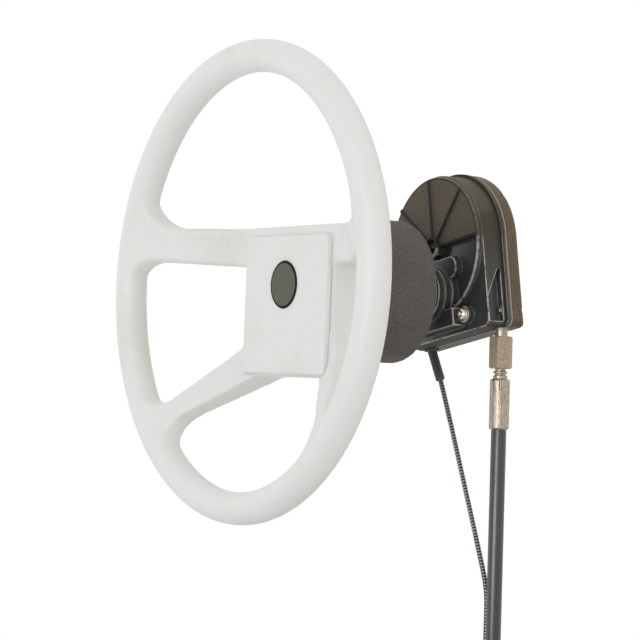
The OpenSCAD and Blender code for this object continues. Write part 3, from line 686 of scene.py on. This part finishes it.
# %% Rear cover
def cover_finish():
    finish = Finish("brown_cover", Specular_IOR_Level=0.5)
    speckle = finish.noise(700, 2, 0.7)
    cloud = finish.noise(50, 3)
    tone = finish.mottle(speckle, cloud, rgb(60, 48, 31), rgb(105, 89, 63))
    shaded = finish.mix(finish.underside() * 0.7, tone, rgb(38, 35, 31))
    relief = finish.bump(speckle, 0.00015, 0.25)
    return finish.feed(Base_Color=shaded, Roughness=0.48 + speckle * 0.16, Normal=relief)


COVER = cover_finish()
cover = paint(soft_copy("rear_cover", "rear_shell", 0.7, 3), COVER)
dress(cover, "helm", "brown_cover", "rear_cover")

# %% [markdown]
# ## Metal, rubber and the jacket
# What is left is small: plated fittings with faint drawing marks, bare machined steel, rubber and plain
# plastics. Each could have a graph of its own, but they differ in a few values only, so two functions
# make nearly all of them. On the nickel the marks are stretched into long streaks that are also painted
# reflection. The wound wire is apart: its crests are a painted highlight and its grooves painted shade.


# %% Small finishes
def metal(name, dark, light, roughness, marks_and_reflection_streaks=(900, 900, 900), shine=1.0):
    finish = Finish(name, Metallic=shine)
    lines = finish.noise(1.0, 4, 0.6, finish.stretched(marks_and_reflection_streaks)).ramp(0.3, 0.7)
    cloud = finish.noise(220, 3)
    tone = finish.mix(lines * 0.7 + cloud * 0.3, dark, light)
    relief = finish.bump(lines, 0.00005, 0.2)
    return finish.feed(Base_Color=tone, Roughness=roughness + lines * 0.12, Normal=relief)


def plastic(name, dark, light, roughness, per_metre=700, gloss=0.5):
    finish = Finish(name, Specular_IOR_Level=gloss)
    grain = finish.noise(per_metre, 3)
    cloud = finish.noise(90, 2)
    tone = finish.mix(grain * 0.5 + cloud * 0.5, dark, light)
    relief = finish.bump(grain, 0.00008, 0.2)
    return finish.feed(Base_Color=tone, Roughness=roughness + grain * 0.14, Normal=relief)


def wound_wire():
    finish = Finish("wound_wire", Metallic=0.7)
    # Painted highlight and shade: the wire's crests are painted bright where light catches them, and its
    # grooves black where shade falls.
    crest_highlight = finish.edges(0.515, 0.585)
    cloud = finish.noise(500, 2)
    tone = finish.mix(crest_highlight, rgb(10, 9, 8), rgb(222, 218, 208))
    return finish.feed(Base_Color=tone, Roughness=0.26 + cloud * 0.2)


# %% Finish of each slot
FINISHES = {
    # Painted reflection: the nickel's drawing marks are stretched into long vertical streaks whose dark and
    # light tones stand in for reflections.
    "nickel": metal("nickel", rgb(112, 99, 82), rgb(206, 195, 178), 0.32, (1500, 1500, 30), 0.75),
    "matte_nickel": metal("matte_nickel", rgb(134, 116, 96), rgb(190, 173, 150), 0.48, shine=0.4),
    "bare_steel": metal("bare_steel", rgb(120, 118, 112), rgb(190, 188, 182), 0.30),
    "bright_screw": metal("bright_screw", rgb(212, 205, 190), rgb(242, 236, 224), 0.14),
    "bronze": metal("bronze", rgb(140, 104, 58), rgb(196, 154, 92), 0.30),
    "gear_steel": metal("gear_steel", rgb(90, 90, 90), rgb(140, 139, 136), 0.34),
    "ram_steel": metal("ram_steel", rgb(176, 176, 176), rgb(224, 224, 222), 0.14, (90, 900, 900)),
    "wound_wire": wound_wire(),
    "black_rubber": plastic("black_rubber", rgb(40, 39, 37), rgb(66, 64, 61), 0.60),
    "stub_rubber": plastic("stub_rubber", rgb(62, 60, 57), rgb(86, 84, 80), 0.62),
    "gasket_tan": plastic("gasket_tan", rgb(142, 127, 100), rgb(178, 162, 132), 0.55),
    "bush_plastic": plastic("bush_plastic", rgb(200, 196, 178), rgb(222, 218, 202), 0.45),
    "drum_plastic": plastic("drum_plastic", rgb(30, 30, 31), rgb(52, 52, 52), 0.46),
    "black_jacket": plastic("black_jacket", rgb(22, 22, 21), rgb(38, 37, 35), 0.22, 240, 0.9),
    "bezel_grey": BEZEL,
    "white_moulding": WHITE,
    "badge_grey": BADGE,
    "dark_casting": CASTING,
    "brown_cover": COVER,
}
print("finishes:", len(FINISHES))

# %% [markdown]
# ## Fittings
# Nuts, screws, collars and ferrules get soft edges too, with cells small enough for a screw's socket. All
# the other solids could be treated so, but gears, bushes and the shaft are hidden. They keep their own
# shape and take the finish of their slot.

# %% Fittings
SOFT_FITTINGS = {
    # solid: (cell, passes, finish)
    "outlet_nut": (0.35, 3, "matte_nickel"),
    "outlet_collar": (0.30, 2, "nickel"),
    "cable_ferrule": (0.35, 3, "nickel"),
    "outlet_stub": (0.35, 3, "stub_rubber"),
    "shoulder_screws": (0.25, 2, "bright_screw"),
    "shoulder_washers": (0.20, 2, "bright_screw"),
    "cover_screws": (0.30, 2, "bare_steel"),
    "core_tip": (0.25, 2, "nickel"),
    "end_ferrule": (0.50, 3, "nickel"),
    "end_nut": (0.60, 3, "nickel"),
    "output_ram": (0.80, 2, "ram_steel"),
}
SLOTS = {part["node"]: part["material_slot"] for part in frame["record"]["subparts"]}


def make_fittings():
    made = {}
    for node, (cell, passes, look) in SOFT_FITTINGS.items():
        piece = soft_copy(node, "soft_" + node, cell, passes)
        body = "ram" if node == "output_ram" else "helm"
        made[node] = dress(paint(piece, FINISHES[look]), body, SLOTS[node], node)
    return made


def finish_solids():
    for node, slot in SLOTS.items():
        paint(solids[node], FINISHES[slot])


fittings = make_fittings()
finish_solids()
print("fittings:", len(fittings), "of", len(SLOTS), "solids got soft edges")

# %% [markdown]
# ## The coil's tie
# The tie round the coil is a thin strap that hugs the outer turns. The solid is a plain frame, and
# smoothing would only thin it. So the strap is made anew: it takes the frame's outer size, rounds the
# corners to the cable, and is a chain of four-cornered rings that closes on itself.

# %% Coil tie
TIE_THICK = 1.2 * MM
TIE_ROUND = CABLE_D / 2 * MM + TIE_THICK
CORNER_STEPS = 12


def make_tie():
    points = [vertex.co for vertex in solids["coil_tie"].data.vertices]
    low = Vector(min(p[i] for p in points) for i in range(3))
    high = Vector(max(p[i] for p in points) for i in range(3))
    left, right = low.x + TIE_ROUND, high.x - TIE_ROUND
    bottom, top = low.z + TIE_ROUND, high.z - TIE_ROUND
    inside = TIE_ROUND - TIE_THICK
    section = [(TIE_ROUND, low.y), (TIE_ROUND, high.y), (inside, high.y), (inside, low.y)]
    shape = bmesh.new()
    rings = []
    for quarter, (x, z) in enumerate([(right, top), (left, top), (left, bottom), (right, bottom)]):
        for step in range(CORNER_STEPS + 1):
            angle = pi / 2 * (quarter + step / CORNER_STEPS)
            rings.append([shape.verts.new((x + r * cos(angle), y, z + r * sin(angle))) for r, y in section])
    skin_rings(shape, rings, closed=True)
    tie = mesh_piece("soft_coil_tie", shape, smooth=False)
    return dress(paint(tie, FINISHES["drum_plastic"]), "helm", SLOTS["coil_tie"], "coil_tie")


fittings["coil_tie"] = make_tie()
print("tie:", len(fittings["coil_tie"].data.polygons), "faces")

# %% [markdown]
# ## Cords
# The cable and the loose core are cords: each keeps a length, a thickness and a place where it leaves the
# casing. Here, after the fittings, they take their finishes, and the pieces on the cable's end are
# listed.

# %% Cords
paint(cable, FINISHES["black_jacket"])
paint(core, FINISHES["wound_wire"])
cable_end = [fittings[node] for node in ("coil_tie", "end_ferrule", "end_nut")]
cable_end + [solids["guide_tube"]]
print("cords declared with", len(cable_end) + 2, "pieces on them")
